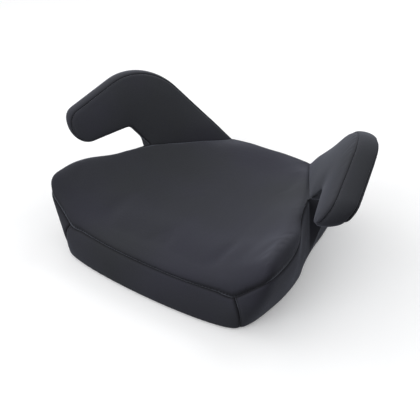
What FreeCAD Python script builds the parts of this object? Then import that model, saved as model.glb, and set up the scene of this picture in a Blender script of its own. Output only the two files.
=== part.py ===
import FreeCAD, Part
import math
import os

import Sketcher
from FreeCAD import Placement, Rotation, Vector

# Backless booster seat: a moulded tub with two moulded arms screwed to it, a foam pad and foam
# arm wraps, and a sewn fabric cover held by an elastic hem and hooks.
# Millimetres. +Z is up, -Y is the front, +X is the child's left. The origin is under the middle
# of the whole seat, on the plane that the rubber feet rest on.

doc = FreeCAD.newDocument("booster_seat")

# ---------------------------------------------------------------- driving dimensions

SHEET_VALUES = {
    # whole seat
    "half_depth": 180.0,          # front of the hem to the construction centre
    "hem_half_width": 161.0,      # widest half width of the hem
    "rim_half_width": 191.0,      # widest half width at rim_height, where the front wings flare
    "rim_height": 110.0,
    "centre_shift": 6.0,          # moves the construction centre so that the origin is central
    "foot_proud": 3.0,            # the feet lift the hem off the car seat
    # layers, measured inwards from the outside of the cover
    "cover_thick": 2.4,
    "seam_gap": 0.4,
    "foam_face": 2.8,
    "shell_face": 4.0,
    "shell_top_drop": 17.0,
    "shell_back": 7.0,
    "shell_back_drop": 20.0,
    "seam_drop": 12.0,            # the top seam runs this far below the crown
    # tub details
    "shell_bottom": 2.5,
    "rib_thick": 2.4,
    "rib_pitch": 56.0,
    "rib_bottom": 6.0,
    "foot_radius": 12.0,
    "foot_height": 6.0,
    "foot_front": 132.0,
    "foot_rear": 128.0,
    "foot_front_half": 112.0,
    "foot_rear_half": 92.0,
    "boss_radius": 15.0,
    "boss_bottom": 0.5,
    "boss_bore": 10.5,
    # arms: the inner face leans out and splays, and the slab is as thick as arm_thick sideways
    "arm_lean": 27.8,
    "arm_splay": 21.1,
    "arm_x": 170.3,
    "arm_y": 18.2,
    "arm_z": 140.8,
    "arm_thick": 30.0,
    "arm_reach": 97.0,
    "arm_rear": 160.0,
    "arm_peak": 73.0,
    "arm_low": 115.0,
    "tip_radius": 24.0,
    "peak_radius": 85.0,
    "notch_radius": 8.0,
    "arm_foam": 4.6,
    "layer_gap": 0.2,
    "core_wall": 2.6,
    "tongue_front": 50.0,
    "tongue_rear": 120.0,
    "tongue_top": 90.0,
    "tongue_low": 135.0,
    "tongue_start": 9.0,
    "tongue_thick": 10.0,
    "bracket_thick": 5.0,
    "bracket_edge": 8.0,
    "bracket_top": 60.0,
    "slide_gap": 0.4,
    # screws and hooks
    "screw_radius": 2.0,
    "screw_length": 15.0,
    "screw_head_radius": 4.5,
    "screw_head_height": 2.8,
    "screw_level": 122.0,
    "screw_inset": 15.0,
    "driver_radius": 6.0,
    "elastic_inset": 3.0,
    "elastic_width": 8.0,
    "elastic_lift": 0.4,
    "elastic_thick": 1.4,
    "hook_width": 14.0,
    "hook_thick": 2.0,
    "hook_lift": 2.4,
    "hook_lip": 8.0,
    "hook_gap": 0.5,
}

sheet = doc.addObject("Spreadsheet::Sheet", "dims")
for row, (alias, value) in enumerate(SHEET_VALUES.items(), 1):
    sheet.set("A%d" % row, alias)
    sheet.set("B%d" % row, str(value))
    sheet.setAlias("B%d" % row, alias)
doc.recompute()


def dim(alias):
    """Read one driving dimension from the sheet."""
    return float(getattr(sheet, alias))


# Outlines are fractions of the half width and half depth, right half only, front to back.
HEM_OUTLINE = [
    (0.00, -1.00), (0.37, -0.99), (0.68, -0.96), (0.87, -0.91), (0.945, -0.81), (0.98, -0.65),
    (1.00, -0.41), (0.98, -0.17), (0.925, 0.01), (0.88, 0.22), (0.857, 0.415), (0.826, 0.60),
    (0.77, 0.82), (0.62, 0.925), (0.31, 0.933), (0.00, 0.933),
]
RIM_OUTLINE = [
    (0.00, -0.859), (0.314, -0.854), (0.587, -0.833), (0.819, -0.844), (0.98, -0.854), (1.00, -0.668),
    (0.952, -0.423), (0.821, -0.185), (0.757, 0.00), (0.738, 0.192), (0.717, 0.374), (0.623, 0.572),
    (0.524, 0.767), (0.45, 0.833), (0.251, 0.756), (0.00, 0.756),
]

# Crown stations along the seat: place along the depth, height in the middle, height at the wing,
# the wing's half width, and how late the surface starts to climb towards the wing.
CROWN_STATIONS = {
    "nose": (-1.07, 53.0, 96.0, 178.0, 5.5),
    "lap": (-0.86, 56.0, 101.0, 180.0, 4.5),
    "thigh": (-0.67, 57.0, 104.0, 180.0, 3.2),
    "dish": (-0.39, 56.0, 103.0, 172.0, 2.6),
    "hip": (-0.06, 57.0, 102.0, 148.0, 2.4),
    "waist": (0.14, 59.0, 101.0, 139.0, 2.2),
    "seat_back": (0.45, 64.0, 84.0, 108.0, 2.0),
    "rim": (0.81, 75.0, 71.0, 71.0, 2.0),
    "tail": (1.07, 75.0, 71.0, 71.0, 2.0),
}
WING_FRACTIONS = (0.0, 0.2, 0.4, 0.6, 0.75, 0.88, 1.0)
SECTION_HALF = 240.0
SECTION_FLOOR = -30.0


# ---------------------------------------------------------------- helpers

def plane(body, role):
    """Give the body's own origin plane that has this role."""
    return next(item for item in body.Origin.OriginFeatures if item.Role == role)


def new_body(name):
    """Add a body whose frame sits over the middle of the seat, at the hem's height."""
    body = doc.addObject("PartDesign::Body", name)
    body.setExpression("Placement.Base.y", "dims.centre_shift")
    body.setExpression("Placement.Base.z", "dims.foot_proud")
    return body


def new_sketch(body, name, role, lift):
    """Add a sketch on an origin plane, moved along the plane's normal by an expression."""
    sketch = body.newObject("Sketcher::SketchObject", name)
    sketch.AttachmentSupport = [(plane(body, role), "")]
    sketch.MapMode = "FlatFace"
    if lift:
        sketch.setExpression("AttachmentOffset.Base.z", lift)
    return sketch


def bind_points(sketch, points):
    """Tie sketch points, each (element, end, across, along), to expressions from the origin."""
    constraints = []
    formulas = []
    for element, end, across, along in points:
        now = sketch.getPoint(element, end)
        for kind, value, formula in (("DistanceX", now.x, across), ("DistanceY", now.y, along)):
            constraints.append(Sketcher.Constraint(kind, -1, 1, element, end, value))
            formulas.append(formula)
    first = sketch.ConstraintCount
    sketch.addConstraint(constraints)
    for offset, formula in enumerate(formulas):
        sketch.setExpression("Constraints[%d]" % (first + offset), formula)


def outward_normals(points):
    """Outward unit normals along half an outline that starts and ends on the centre line."""
    normals = []
    for index in range(len(points)):
        before = points[index - 1] if index else (-points[1][0], points[1][1])
        last = index == len(points) - 1
        after = (-points[-2][0], points[-2][1]) if last else points[index + 1]
        tangent = (after[0] - before[0], after[1] - before[1])
        size = math.hypot(*tangent)
        normals.append((tangent[1] / size, -tangent[0] / size))
    return normals


def smooth_half(values):
    """Uniform cubic through half an outline's values, square to the centre line at both ends."""
    curve = Part.BSplineCurve()
    points = [Vector(across, along, 0) for across, along in values]
    parameters = [float(index) for index in range(len(values))]
    curve.interpolate(Points=points, Parameters=parameters, InitialTangent=Vector(values[1][0], 0, 0),
                      FinalTangent=Vector(-values[-2][0], 0, 0), Scale=False)
    return curve


def outline_sketch(body, name, half, width_alias, inset, lift):
    """Half of a smooth outline, closed on the centre line and drawn in by an inset expression."""
    sketch = new_sketch(body, name, "XY_Plane", lift)
    width = dim(width_alias)
    depth = dim("half_depth")
    normals = outward_normals([(across * width, along * depth) for across, along in half])
    shape = smooth_half(half)
    offset = smooth_half(normals)
    start = [Vector(pole.x * width, pole.y * depth, 0) for pole in shape.getPoles()]
    curve = Part.BSplineCurve()
    curve.buildFromPolesMultsKnots(start, shape.getMultiplicities(), shape.getKnots(), False, 3)
    outer = sketch.addGeometry(curve, False)
    sketch.exposeInternalGeometry(outer)
    points = []
    for index, (pole, shift) in enumerate(zip(shape.getPoles(), offset.getPoles())):
        across = "dims.%s * %.6f - (%s) * %.6f" % (width_alias, pole.x, inset, shift.x)
        along = "dims.half_depth * %.6f - (%s) * %.6f" % (pole.y, inset, shift.y)
        points.append((outer + 1 + index, 3, across, along))
    bind_points(sketch, points)
    middle = sketch.addGeometry(Part.LineSegment(start[-1], start[0]), False)
    sketch.addConstraint([
        Sketcher.Constraint("Coincident", outer, 2, middle, 1),
        Sketcher.Constraint("Coincident", middle, 2, outer, 1),
    ])
    return sketch


def plan_form(name, inset, bottom):
    """Solid between the hem outline and the wider rim outline, both drawn in by the inset."""
    body = new_body(name)
    low = outline_sketch(body, name + "_hem", HEM_OUTLINE, "hem_half_width", inset, bottom)
    high = outline_sketch(body, name + "_rim", RIM_OUTLINE, "rim_half_width", inset, "dims.rim_height")
    loft = body.newObject("PartDesign::AdditiveLoft", name + "_loft")
    loft.Profile = low
    loft.Sections = [high]
    return body


def crown_section(body, name, station):
    """Half a section across the seat: a dished line on top, from the middle out past the wing."""
    place, middle, wing, half, power = CROWN_STATIONS[station]
    sketch = new_sketch(body, name, "XZ_Plane", "dims.half_depth * %.4f" % -place)
    across = [fraction * half for fraction in WING_FRACTIONS] + [half * 1.12, SECTION_HALF]
    poles = [(x, middle + (wing - middle) * min(1.0, x / half) ** power) for x in across]
    poles[1] = (poles[1][0], middle)
    curve = Part.BSplineCurve()
    curve.buildFromPoles([Vector(x, height, 0) for x, height in poles], False, 3)
    top = sketch.addGeometry(curve, False)
    sketch.exposeInternalGeometry(top)
    points = []
    for index, (x, height) in enumerate(poles):
        points.append((top + 1 + index, 3, "%.4f" % x, "%.4f" % height))
    corners = [Vector(SECTION_HALF, wing, 0), Vector(SECTION_HALF, SECTION_FLOOR, 0),
               Vector(0, SECTION_FLOOR, 0), Vector(0, middle, 0)]
    side, floor, centre = [
        sketch.addGeometry(Part.LineSegment(corners[index], corners[index + 1]), False) for index in range(3)
    ]
    for first, second in ((top, side), (side, floor), (floor, centre), (centre, top)):
        sketch.addConstraint(Sketcher.Constraint("Coincident", first, 2, second, 1))
    points.append((side, 2, "%.1f" % SECTION_HALF, "%.1f" % SECTION_FLOOR))
    points.append((floor, 2, "0", "%.1f" % SECTION_FLOOR))
    bind_points(sketch, points)
    return sketch


def crown_form(name):
    """Solid under the dished seat surface, lofted from the front of the seat to the back."""
    body = new_body(name)
    sections = [crown_section(body, name + "_" + station, station) for station in CROWN_STATIONS]
    loft = body.newObject("PartDesign::AdditiveLoft", name + "_loft")
    loft.Profile = sections[0]
    loft.Sections = sections[1:]
    return body


def boolean(kind, name, base, tool):
    """Part::Cut or Part::Common of two objects."""
    result = doc.addObject("Part::" + kind, name)
    result.Base = base
    result.Tool = tool
    return result


def cut_all(name, base, tools):
    """Cut several tools out of a base, one after another."""
    for index, tool in enumerate(tools[:-1], 1):
        base = boolean("Cut", "%s_step_%d" % (name, index), base, tool)
    return boolean("Cut", name, base, tools[-1])


def group(kind, name, items):
    """Part::MultiFuse (kind Shapes) or Part::Compound (kind Links) of many objects."""
    result = doc.addObject("Part::MultiFuse" if kind == "Shapes" else "Part::Compound", name)
    setattr(result, kind, items)
    return result


def lowered(name, source, drop):
    """The same solid, moved down by an expression."""
    result = group("Links", name, [source])
    result.setExpression("Placement.Base.z", "-(%s)" % drop)
    return result


def box(name, low, high):
    """Part::Box between two corners given as expressions in the seat's own frame."""
    item = doc.addObject("Part::Box", name)
    shifts = {"x": "0", "y": "dims.centre_shift", "z": "dims.foot_proud"}
    for size, axis, first, last in zip(("Length", "Width", "Height"), "xyz", low, high):
        item.setExpression(size, "(%s) - (%s)" % (last, first))
        item.setExpression("Placement.Base." + axis, "%s + %s" % (first, shifts[axis]))
    return item


def upright_cylinder(name, radius, x, y, low, high):
    """Part::Cylinder along Z between two heights, all as expressions in the seat's own frame."""
    item = doc.addObject("Part::Cylinder", name)
    item.setExpression("Radius", radius)
    item.setExpression("Height", "(%s) - (%s)" % (high, low))
    item.setExpression("Placement.Base.x", x)
    item.setExpression("Placement.Base.y", "%s + dims.centre_shift" % y)
    item.setExpression("Placement.Base.z", "%s + dims.foot_proud" % low)
    return item


def mirrored(name, source):
    """The same solid on the other side of the seat."""
    result = doc.addObject("Part::Mirroring", name)
    result.Source = source
    result.Base = Vector(0, 0, 0)
    result.Normal = Vector(1, 0, 0)
    return result


def both_sides(name, items):
    """A list of items and their mirror images, as one compound."""
    left = group("Links", name + "_left_side", items)
    return group("Links", name, [left, mirrored(name + "_right_side", left)])


def whole(name, half):
    """Join a half that is cut on the centre line to its mirror image."""
    return group("Shapes", name, [half, mirrored(name + "_other_half", half)])


def failed():
    """Objects whose last recompute went wrong."""
    return [item for item in doc.Objects if "Invalid" in item.State or "Error" in item.State]


def settle():
    """Recompute, and give a sketch whose solver didn't converge up to five more tries."""
    doc.recompute()
    for _ in range(5):
        stuck = failed()
        if not stuck:
            break
        for item in stuck:
            item.touch()
        doc.recompute()


# ---------------------------------------------------------------- seat forms

outer_plan = plan_form("outer_plan", "0", "0")
skin_plan = plan_form("skin_plan", "dims.cover_thick", "-1")
shell_plan = plan_form("shell_plan", "dims.shell_face", "dims.shell_bottom")
hollow_plan = plan_form("hollow_plan", "dims.shell_back", "-5")
crown = crown_form("crown")

outer_form = boolean("Common", "outer_form", outer_plan, crown)
skin_crown = lowered("skin_crown", crown, "dims.cover_thick")
skin_form = boolean("Common", "skin_form", skin_plan, skin_crown)
shell_crown = lowered("shell_crown", crown, "dims.shell_top_drop")
shell_form = boolean("Common", "shell_form", shell_plan, shell_crown)
hollow_crown = lowered("hollow_crown", crown, "dims.shell_back_drop")
hollow_form = boolean("Common", "hollow_form", hollow_plan, hollow_crown)


# ---------------------------------------------------------------- arm forms

lean = math.radians(dim("arm_lean"))
splay = math.radians(dim("arm_splay"))
ARM_FORWARD = Vector(math.sin(splay), -math.cos(splay), 0)
ARM_SIDE = Vector(math.cos(splay), math.sin(splay), 0)
ARM_OUT = Vector(math.cos(lean) * math.cos(splay), math.cos(lean) * math.sin(splay), -math.sin(lean))
ARM_UP = ARM_FORWARD.cross(ARM_OUT)
ARM_CENTRE = Vector(dim("arm_x"), dim("arm_y") + dim("centre_shift"), dim("arm_z") + dim("foot_proud"))
ARM_FRAME = Placement(ARM_CENTRE, Rotation(ARM_FORWARD, ARM_UP, ARM_OUT * -1, "XYZ"))


def rounded_loop(sketch, corners):
    """Closed loop of lines with a tangent arc at each corner that has a radius."""
    ends = []
    count = len(corners)
    for index, (x, y, radius) in enumerate(corners):
        corner = Vector(x, y, 0)
        before = Vector(*corners[index - 1][:2], 0) - corner
        after = Vector(*corners[(index + 1) % count][:2], 0) - corner
        before.normalize()
        after.normalize()
        half = before.getAngle(after) / 2
        reach = radius / math.tan(half)
        middle = before + after
        middle.normalize()
        centre = corner + middle * (radius / math.sin(half))
        ends.append((corner + before * reach, centre - middle * radius, corner + after * reach, radius))
    for index, (start, middle, end, radius) in enumerate(ends):
        if radius:
            sketch.addGeometry(Part.Arc(start, middle, end), False)
        sketch.addGeometry(Part.LineSegment(end, ends[(index + 1) % count][0]), False)


def arm_profile():
    """Side view of the arm: a horn over a notch, and a root that runs down into the seat."""
    reach = dim("arm_reach")
    rear = dim("arm_rear")
    peak = dim("arm_peak")
    low = dim("arm_low")
    tip = dim("tip_radius")
    sketch = doc.addObject("Sketcher::SketchObject", "arm_profile")
    sketch.Placement = ARM_FRAME
    rounded_loop(sketch, [
        (0.06 * reach, -0.26 * peak, dim("notch_radius")),
        (-0.15 * reach, -0.74 * peak, 0.0),
        (-0.60 * reach, -low, 0.0),
        (-1.02 * rear, -low, 0.0),
        (-rear, -1.2 * peak, 0.0),
        (-0.28 * rear, peak, dim("peak_radius")),
        (reach, 0.24 * peak, 0.9 * tip),
        (reach, -0.40 * peak, tip),
    ])
    return sketch


ARM_OUTLINE = arm_profile()


def arm_outline(name, inset, join="Arc"):
    """The arm's side view drawn in (or out, if negative) by an expression."""
    result = doc.addObject("Part::Offset2D", name)
    result.Source = ARM_OUTLINE
    result.Join = join
    result.setExpression("Value", "-(%s)" % inset)
    return result


def arm_slab(name, outline, start, thick):
    """Extrude an outline sideways, from a start distance outside the arm's inner face."""
    result = doc.addObject("Part::Extrusion", name)
    result.Base = outline
    result.DirMode = "Custom"
    result.Dir = ARM_SIDE
    result.Solid = True
    result.setExpression("LengthFwd", thick)
    result.setExpression("Placement.Base.x", "(%s) * %.6f" % (start, ARM_SIDE.x))
    result.setExpression("Placement.Base.y", "(%s) * %.6f" % (start, ARM_SIDE.y))
    return result


def arm_plate(name, front, rear, top, low, start, thick):
    """Rectangular plate in the arm's plane, between distances from the arm's centre."""
    sketch = doc.addObject("Sketcher::SketchObject", name + "_outline")
    sketch.Placement = ARM_FRAME
    corners = [(-front, -top), (-rear, -top), (-rear, -low), (-front, -low)]
    rounded_loop(sketch, [(x, y, 0.0) for x, y in corners])
    return arm_slab(name, sketch, start, thick)


core_inset = "dims.cover_thick + dims.arm_foam"
foam_inset = "dims.cover_thick + dims.layer_gap"
core_fit = "dims.cover_thick + dims.arm_foam - dims.slide_gap"
tight_outline = arm_outline("arm_outline_tight", "dims.cover_thick")
foam_outline = arm_outline("arm_outline_foam", foam_inset)
core_outline = arm_outline("arm_outline_core", core_inset)
core_fit_outline = arm_outline("arm_outline_core_fit", core_fit)
clear_outline = arm_outline("arm_outline_clear", "-dims.seam_gap", "Intersection")

arm_clear = arm_slab("arm_clear", clear_outline, "-dims.seam_gap", "dims.arm_thick + 2 * dims.seam_gap")
arm_beyond = arm_slab("arm_beyond", clear_outline, "dims.arm_thick", "dims.arm_thick")
core_slab = arm_slab("core_slab", core_outline, core_inset, "dims.arm_thick - 2 * (%s)" % core_inset)
core_room = arm_slab("core_room", core_fit_outline, core_fit, "dims.arm_thick - 2 * (%s)" % core_fit)

front, rear = dim("tongue_front"), dim("tongue_rear")
top, low = dim("tongue_top"), dim("tongue_low")
gap, edge = dim("slide_gap"), dim("bracket_edge")
tongue = arm_plate("tongue", front, rear, top, low, "dims.tongue_start", "dims.tongue_thick")
tongue_room = arm_plate("tongue_room", front - gap, rear + gap, top, low + gap,
                        "dims.tongue_start - dims.slide_gap", "dims.tongue_thick + 2 * dims.slide_gap")
bracket = arm_plate("bracket", front - edge, rear + edge, dim("bracket_top"), low + edge,
                    "dims.tongue_start - dims.slide_gap - dims.bracket_thick", "dims.bracket_thick")


def arm_cylinder(name, radius, along, start, length):
    """Part::Cylinder square to the arm's inner face, at one screw's place."""
    item = doc.addObject("Part::Cylinder", name)
    item.setExpression("Radius", radius)
    item.setExpression("Height", length)
    place = ARM_CENTRE + ARM_FORWARD * along - ARM_UP * dim("screw_level") + ARM_OUT * start
    item.Placement = Placement(place, Rotation(Vector(0, 0, 1), ARM_OUT))
    return item


# Distances sideways shrink by cos(lean) when they are measured square to the arm's face.
bracket_face = (dim("tongue_start") - dim("slide_gap") - dim("bracket_thick")) * math.cos(lean)
screw_places = (-front - dim("screw_inset"), -rear + dim("screw_inset"))
screws = []
screw_holes = []
driver_holes = []
for number, along in enumerate(screw_places, 1):
    head_start = bracket_face - dim("screw_head_height") - 0.1
    head = arm_cylinder("screw_head_%d" % number, "dims.screw_head_radius", along, head_start,
                        "dims.screw_head_height")
    shank = arm_cylinder("screw_shank_%d" % number, "dims.screw_radius", along, head_start,
                         "dims.screw_length")
    screws.append(group("Shapes", "screw_%d" % number, [head, shank]))
    screw_holes.append(arm_cylinder("screw_hole_%d" % number, "dims.screw_radius + 0.1", along,
                                    head_start, "dims.screw_length + 0.5"))
    driver_holes.append(arm_cylinder("driver_hole_%d" % number, "dims.driver_radius", along,
                                     bracket_face - 30.0, "30"))


# ---------------------------------------------------------------- moulded tub

def rib_grid():
    """Crossed ribs under the left half of the seat top."""
    ribs = []
    reach = "dims.rim_half_width"
    half = "dims.rib_thick / 2"
    for step in (0.5, 1.5, 2.5):
        place = "dims.rib_pitch * %.1f" % step
        low = (place + " - " + half, "-" + reach, "dims.rib_bottom")
        high = (place + " + " + half, reach, "dims.rim_height")
        ribs.append(box("rib_along_%d" % len(ribs), low, high))
    for step in (-2.5, -1.5, -0.5, 0.5, 1.5, 2.5):
        place = "dims.rib_pitch * %.1f" % step
        low = ("0", place + " - " + half, "dims.rib_bottom")
        high = (reach, place + " + " + half, "dims.rim_height")
        ribs.append(box("rib_across_%d" % len(ribs), low, high))
    return group("Shapes", "rib_grid", ribs)


FOOT_PLACES = (
    ("dims.foot_front_half", "-dims.foot_front"),
    ("dims.foot_rear_half", "dims.foot_rear"),
)


def foot_bosses():
    """Round bosses that reach down from the seat top to hold the feet."""
    bosses = []
    for number, (x, y) in enumerate(FOOT_PLACES):
        bosses.append(upright_cylinder("boss_%d" % number, "dims.boss_radius", x, y,
                                       "dims.boss_bottom", "dims.rim_height"))
    return group("Links", "foot_bosses", bosses)


def boss_hollows():
    """What is cored out of the bosses from below: a foot pocket, and a narrower bore above its ledge."""
    hollows = []
    pocket_top = "dims.foot_height - dims.foot_proud + 0.1"
    for number, (x, y) in enumerate(FOOT_PLACES):
        hollows.append(upright_cylinder("foot_pocket_%d" % number, "dims.foot_radius + 0.1", x, y,
                                        "-1", pocket_top))
        hollows.append(upright_cylinder("boss_bore_%d" % number, "dims.boss_bore", x, y,
                                        "0", "dims.rim_height"))
    return group("Links", "boss_hollows", hollows)


def base_shell():
    """The tub: a thin wall and top, stiffened by ribs, with foot bosses and arm brackets."""
    bosses_form = foot_bosses()
    wall = cut_all("tub_wall", shell_form, [hollow_form, core_room])
    drivers = group("Links", "driver_holes", driver_holes)
    ribs = cut_all("tub_ribs", rib_grid(), [bosses_form, drivers])
    inside = group("Shapes", "tub_inside", [ribs, cut_all("bracket_drilled", bracket, screw_holes)])
    inside = boolean("Common", "tub_inside_trimmed", inside, tub_limit)
    inside = cut_all("tub_inside_open", inside, [core_room, tongue_room])
    bosses = boolean("Common", "bosses_trimmed", bosses_form, tub_limit)
    bosses = cut_all("bosses_cored", bosses, [boss_hollows(), core_room, tongue_room])
    return whole("base_shell", group("Shapes", "tub_half", [wall, inside, bosses]))


parts = {}
limit_plan = plan_form("limit_plan", "dims.shell_face + dims.rib_thick / 4", "-4")
limit_crown = lowered("limit_crown", crown, "dims.shell_top_drop + dims.rib_thick / 4")
tub_limit = boolean("Common", "tub_limit", limit_plan, limit_crown)
parts["base_shell"] = base_shell()


# ---------------------------------------------------------------- arms

def core_ribs():
    """Upright ribs across the hollow outer side of a horn plate."""
    half = dim("core_wall") / 2
    ribs = []
    for number, along in enumerate((-0.65, -0.3, 0.3)):
        place = -along * dim("arm_reach")
        ribs.append(arm_plate("core_rib_%d" % number, place - half, place + half, -dim("arm_peak"),
                              dim("arm_low"), "0", "dims.arm_thick"))
    return group("Shapes", "core_ribs", ribs)


def arm_core():
    """Moulded horn: a plate with a rim and ribs on its outer side, and a tongue below."""
    hollow_inset = core_inset + " + dims.core_wall"
    hollow = arm_slab("core_hollow", arm_outline("arm_outline_hollow", hollow_inset), hollow_inset,
                      "dims.arm_thick")
    tray = boolean("Cut", "core_tray", core_slab, boolean("Cut", "core_cells", hollow, core_ribs()))
    blank = group("Shapes", "core_blank", [tray, tongue])
    return boolean("Cut", "arm_core", blank, group("Links", "screw_holes", screw_holes))


def arm_foam():
    """Foam wrap round the horn, open at the root."""
    block = arm_slab("foam_block", foam_outline, foam_inset, "dims.arm_thick - 2 * (%s)" % foam_inset)
    return cut_all("arm_foam", block, [core_room, outer_form])


def arm_panel(name, start):
    """Flat fabric side of an arm's cover."""
    blank = arm_slab(name + "_blank", ARM_OUTLINE, start, "dims.cover_thick")
    return boolean("Cut", name, blank, outer_form)


def arm_edge_strip():
    """Fabric strip that runs round the rim of the arm between its two flat sides."""
    start = "dims.cover_thick + dims.layer_gap / 2"
    thick = "dims.arm_thick - 2 * dims.cover_thick - dims.layer_gap"
    outside = arm_slab("strip_outside", ARM_OUTLINE, start, thick)
    inside = arm_slab("strip_inside", tight_outline, start, thick)
    return cut_all("arm_edge_strip", outside, [inside, outer_form])


def add_pair(name, source):
    """Keep a piece on the child's left and its mirror image on the right."""
    parts[name + "_left"] = source
    parts[name + "_right"] = mirrored(name + "_mirror", source)


add_pair("arm_core", arm_core())
add_pair("arm_foam", arm_foam())
add_pair("arm_inner_panel", arm_panel("arm_inner_panel", "0"))
add_pair("arm_outer_panel", arm_panel("arm_outer_panel", "dims.arm_thick - dims.cover_thick"))
add_pair("arm_edge_strip", arm_edge_strip())
parts["arm_screws"] = both_sides("arm_screws", screws)


# ---------------------------------------------------------------- seat pad and seat cover

def seat_foam():
    """Foam pad of even thickness between the tub's top and the cover."""
    upper = boolean("Common", "pad_upper", shell_plan, lowered("pad_crown", crown, "dims.foam_face"))
    floor = lowered("pad_floor", crown, "dims.shell_top_drop - dims.slide_gap")
    return whole("seat_foam", cut_all("pad_half", upper, [floor, arm_clear, arm_beyond]))


def corner_wedge(name, grow):
    """Wedge whose slanted sides are the two front corner seams."""
    body = new_body(name)
    sketch = new_sketch(body, name + "_face", "XZ_Plane", "0.6 * dims.half_depth")
    bottom = "dims.hem_half_width * 0.925 + " + grow
    top = "dims.hem_half_width * 0.665 + " + grow
    low, high = "-5", "dims.rim_height * 1.1"
    corners = [("-(%s)" % bottom, low), (bottom, low), (top, high), ("-(%s)" % top, high)]
    start = [Vector(-150, -5, 0), Vector(150, -5, 0), Vector(110, 120, 0), Vector(-110, 120, 0)]
    for index in range(4):
        sketch.addGeometry(Part.LineSegment(start[index], start[(index + 1) % 4]), False)
    for index in range(4):
        sketch.addConstraint(Sketcher.Constraint("Coincident", index, 2, (index + 1) % 4, 1))
    bind_points(sketch, [(index, 1, x, z) for index, (x, z) in enumerate(corners)])
    pad = body.newObject("PartDesign::Pad", name + "_pad")
    pad.Profile = sketch
    pad.setExpression("Length", "dims.half_depth * 0.6")
    return body


def seat_bands(ring):
    """Fabric bands below the top seam: one front, one each side, one behind."""
    band_crown = lowered("band_crown", crown, "dims.seam_drop + dims.seam_gap")
    below = boolean("Common", "band_ring", ring, band_crown)
    below = boolean("Cut", "band_ring_open", below, arm_clear)
    front_wedge = corner_wedge("front_wedge", "0")
    front_room = corner_wedge("front_room", "dims.seam_gap")
    front = boolean("Common", "front_band_half", below, front_wedge)
    parts["cover_front_band"] = whole("cover_front_band", front)
    rear_line = "0.7 * dims.half_depth"
    far = "dims.half_depth * 2"
    rear_low = ("-" + far, rear_line + " + dims.seam_gap", "-dims.half_depth")
    rear = box("rear_zone", rear_low, (far, far, far))
    back = boolean("Common", "back_band_half", below, rear)
    parts["cover_back_band"] = whole("cover_back_band", back)
    side = box("side_zone", ("0", "-" + far, "-dims.half_depth"), (far, rear_line, far))
    band = boolean("Cut", "side_band", boolean("Common", "side_band_blank", below, side), front_room)
    add_pair("cover_side_band", band)


parts["seat_foam"] = seat_foam()
cover_ring = boolean("Cut", "cover_ring", outer_form, skin_form)
seam_crown = lowered("seam_crown", crown, "dims.seam_drop")
top_half = cut_all("top_panel_half", cover_ring, [seam_crown, arm_clear, arm_beyond])
parts["cover_top_panel"] = whole("cover_top_panel", top_half)
seat_bands(cover_ring)


# ---------------------------------------------------------------- underside

def hem_elastic():
    """Flat elastic ring that draws the cover's hem in under the tub."""
    body = new_body("hem_elastic")
    inner_inset = "dims.elastic_inset + dims.elastic_width"
    lift = "dims.elastic_lift"
    outer = outline_sketch(body, "elastic_outer", HEM_OUTLINE, "hem_half_width", "dims.elastic_inset", lift)
    pad = body.newObject("PartDesign::Pad", "elastic_pad")
    pad.Profile = outer
    pad.setExpression("Length", "dims.elastic_thick")
    inner = outline_sketch(body, "elastic_inner", HEM_OUTLINE, "hem_half_width", inner_inset, lift)
    pocket = body.newObject("PartDesign::Pocket", "elastic_pocket")
    pocket.Profile = inner
    pocket.Type = "ThroughAll"
    pocket.Midplane = True
    return whole("hem_elastic_whole", body)


def anti_slip_feet():
    """Rubber feet pressed into the bosses and standing a little below the hem."""
    feet = []
    for number, (x, y) in enumerate(FOOT_PLACES):
        feet.append(upright_cylinder("foot_%d" % number, "dims.foot_radius", x, y, "-dims.foot_proud",
                                     "dims.foot_height - dims.foot_proud"))
    return both_sides("anti_slip_feet", feet)


def cover_hook(name, x, y, turn, rib_place, hem_place):
    """Hook from the elastic, under a rib and up behind it; turn points it to the middle."""
    body = new_body(name)
    reach = abs(hem_place) - abs(rib_place) + dim("rib_thick") / 2 + dim("hook_gap") + dim("hook_thick")
    thick = dim("hook_thick")
    lip = dim("hook_lip")
    lift = dim("hook_lift")
    sketch = new_sketch(body, name + "_side", "XZ_Plane", "-dims.hook_width / 2")
    corners = [(0, lift), (reach, lift), (reach, lift + thick + lip), (reach - thick, lift + thick + lip),
               (reach - thick, lift + thick), (0, lift + thick)]
    points = [Vector(across, up, 0) for across, up in corners]
    for index, point in enumerate(points):
        sketch.addGeometry(Part.LineSegment(point, points[(index + 1) % len(points)]), False)
    pad = body.newObject("PartDesign::Pad", name + "_pad")
    pad.Profile = sketch
    pad.setExpression("Length", "dims.hook_width")
    place = Vector(x, y + dim("centre_shift"), dim("foot_proud"))
    body.setExpression("Placement.Base.y", None)
    body.setExpression("Placement.Base.z", None)
    body.Placement = Placement(place, Rotation(Vector(0, 0, 1), turn))
    return body


def cover_hooks():
    """Six hooks: two in front, two behind and one on each side."""
    pitch = dim("rib_pitch")
    last_rib = 2.5 * pitch
    inset = dim("elastic_inset") + dim("elastic_width") * 0.4
    hem_front = dim("half_depth") * 0.96 - inset
    hem_rear = dim("half_depth") * 0.93 - inset
    hem_side = dim("hem_half_width") - inset
    hooks = []
    for side in (-1, 1):
        hooks.append(cover_hook("hook_front_%d" % side, side * pitch, -hem_front, 90, last_rib, hem_front))
        hooks.append(cover_hook("hook_rear_%d" % side, side * pitch * 0.8, hem_rear, -90, last_rib, hem_rear))
        turn = 180 if side > 0 else 0
        hooks.append(cover_hook("hook_side_%d" % side, side * hem_side, -pitch, turn, last_rib, hem_side))
    return group("Links", "cover_hooks", hooks)


parts["hem_elastic"] = hem_elastic()
parts["anti_slip_feet"] = anti_slip_feet()
parts["cover_hooks"] = cover_hooks()


# ---------------------------------------------------------------- check and write

settle()
for item in failed():
    raise RuntimeError("%s failed: %s" % (item.Name, item.getStatusString()))

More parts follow.
